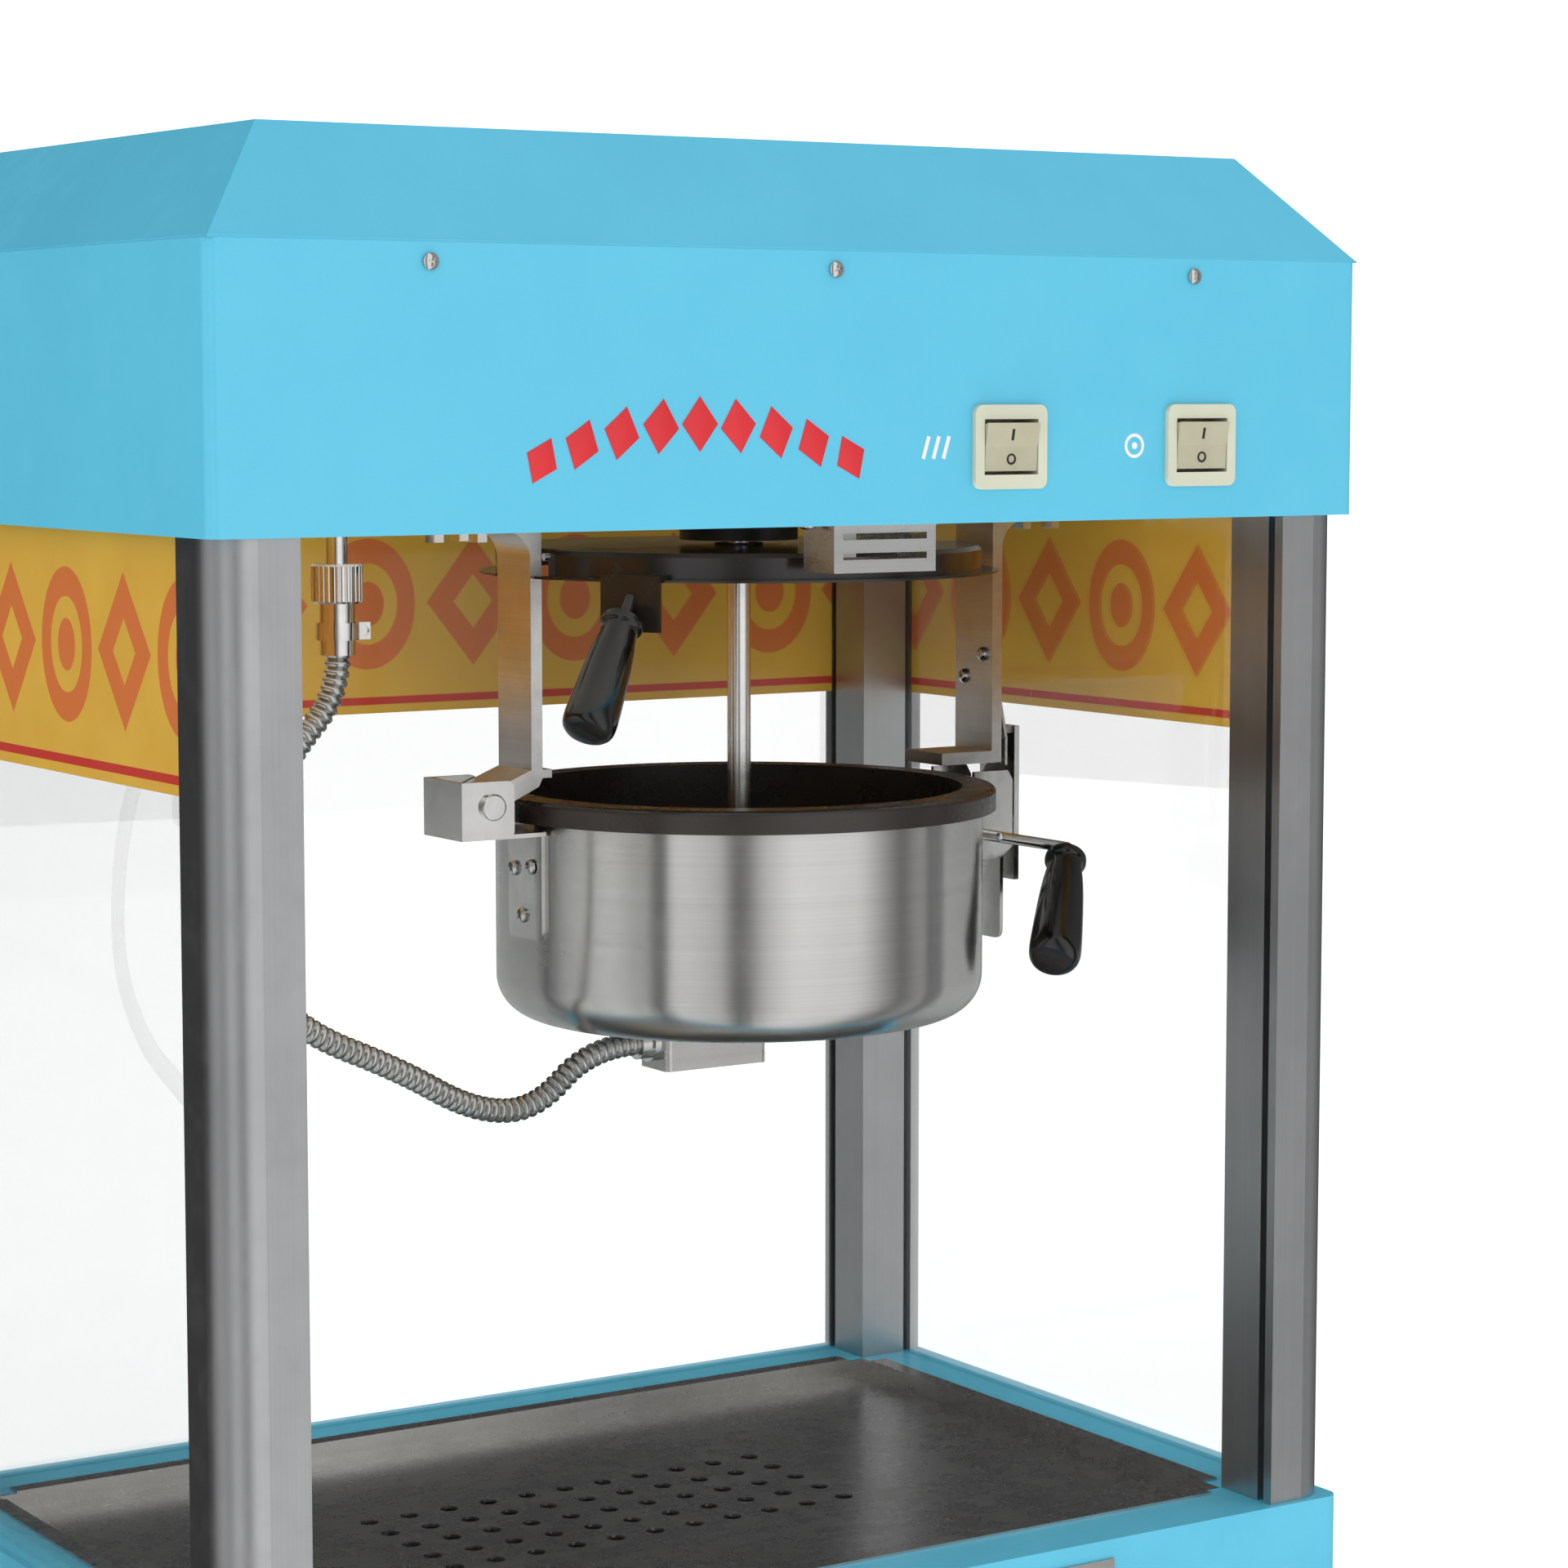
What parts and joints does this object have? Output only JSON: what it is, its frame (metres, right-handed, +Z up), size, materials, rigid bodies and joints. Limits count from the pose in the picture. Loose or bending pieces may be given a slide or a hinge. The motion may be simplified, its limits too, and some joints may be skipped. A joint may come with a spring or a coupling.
{
  "type": "popcorn maker",
  "caption": "Countertop popcorn machine: glazed cabinet with an open front, tilting kettle on hangers, lift-up lid, motor stirrer, latch crank and flexible steel conduit.",
  "frame": {"origin": "the middle of the machine's footprint, at the level of the surface it stands on", "axes": "+Z up, +Y to the back, +X to the operator's right when facing the open front"},
  "size_m": [0.6, 0.4096, 0.77],
  "materials": {
    "header_paint": "smooth sky-blue powder coat",
    "base_paint": "smooth sky-blue powder coat",
    "white_paint": "white powder coat",
    "rubber": "matte moulded",
    "stainless": "brushed",
    "zinc_steel": "zinc plated",
    "post_aluminium": "anodised extrusion",
    "hanger_aluminium": "sawn extrusion",
    "clear_glass": "clear, polished",
    "printed_film": "printed film",
    "lid_dark": "dark non-stick coat",
    "pan_dark": "dark non-stick coat",
    "grip_black": "glossy phenolic",
    "coupling_black": "moulded",
    "switch_ivory": "moulded",
    "inlet_black": "moulded",
    "chrome": "plated",
    "conduit_steel": "ribbed flexible steel",
    "cast_aluminium": "cast",
    "motor_grey": "enamel",
    "lamp_glass": "clear capsule",
    "ceramic_white": "glazed socket"
  },
  "bodies": {
    "cabinet": {"base_housing": "base_paint", "base_feet": "rubber", "deck_tray": "stainless", "drawer_runners": "zinc_steel", "post_front_left": "post_aluminium", "post_front_right": "post_aluminium", "post_rear_left": "post_aluminium", "post_rear_right": "post_aluminium", "glass_left": "clear_glass", "glass_right": "clear_glass", "glass_rear": "clear_glass", "banner_left": "printed_film", "banner_right": "printed_film", "banner_rear": "printed_film", "header_housing": "header_paint", "ceiling_plate": "white_paint", "roof_cover": "header_paint", "panel_screws": "zinc_steel", "heat_switch_bezel": "switch_ivory", "motor_switch_bezel": "switch_ivory", "power_inlet": "inlet_black", "left_hanger": "hanger_aluminium", "right_hanger": "hanger_aluminium", "hanger_bolts": "zinc_steel", "catch_plate": "stainless", "lamp_guard": "stainless", "lamp_socket": "ceramic_white", "lamp": "lamp_glass", "motor_bracket": "zinc_steel", "gearmotor": "motor_grey", "kettle_socket": "chrome", "knurled_nut": "chrome", "conduit_ferrule": "chrome", "kettle_conduit": "conduit_steel"},
    "drawer": {"crumb_drawer": "stainless"},
    "heat_rocker": {"heat_rocker": "switch_ivory"},
    "motor_rocker": {"motor_rocker": "switch_ivory"},
    "stirring_drive": {"drive_coupling": "coupling_black", "stir_shaft": "stainless", "stirrer": "stainless"},
    "lid": {"lid_front": "lid_dark", "lid_rear": "lid_dark", "lid_hinge_rod": "stainless", "lid_bush": "coupling_black", "lid_handle_bracket": "lid_dark", "lid_grip": "grip_black"},
    "kettle": {"kettle_shell": "stainless", "kettle_pan": "pan_dark", "heater_plate": "cast_aluminium", "heating_element": "stainless", "terminal_box": "stainless", "conduit_gland": "chrome", "left_kettle_bracket": "zinc_steel", "right_kettle_bracket": "zinc_steel", "kettle_screws": "zinc_steel", "pivot_pin": "zinc_steel"},
    "latch": {"latch_arm": "zinc_steel", "crank_rod": "zinc_steel", "crank_grip": "grip_black"}
  },
  "joints": [
    {"name": "kettle_tilt", "type": "hinge", "parent": "cabinet", "child": "kettle", "pos_m": [-0.079, -0.01, 0.465], "axis": [0, 1, 0], "range_deg": [0, 65], "deforming": ["kettle_conduit"]},
    {"name": "latch_turn", "type": "hinge", "parent": "kettle", "child": "latch", "pos_m": [0.21, -0.01, 0.434], "axis": [0, 1, 0], "range_deg": [0, 20]},
    {"name": "stir_spin", "type": "hinge", "parent": "cabinet", "child": "stirring_drive", "pos_m": [0.07, -0.01, 0.6], "axis": [0, 0, 1], "continuous": true},
    {"name": "lid_lift", "type": "slide", "parent": "cabinet", "child": "lid", "axis": [0, 0, 1], "range_m": [-0.104, 0]},
    {"name": "heat_rocker_press", "type": "hinge", "parent": "cabinet", "child": "heat_rocker", "pos_m": [0.094, -0.1975, 0.634], "axis": [-1, 0, 0], "range_deg": [0, 12]},
    {"name": "motor_rocker_press", "type": "hinge", "parent": "cabinet", "child": "motor_rocker", "pos_m": [0.204, -0.1975, 0.634], "axis": [-1, 0, 0], "range_deg": [0, 12]},
    {"name": "drawer_slide", "type": "slide", "parent": "cabinet", "child": "drawer", "axis": [0, -1, 0], "range_m": [0, 0.26]}
  ]
}
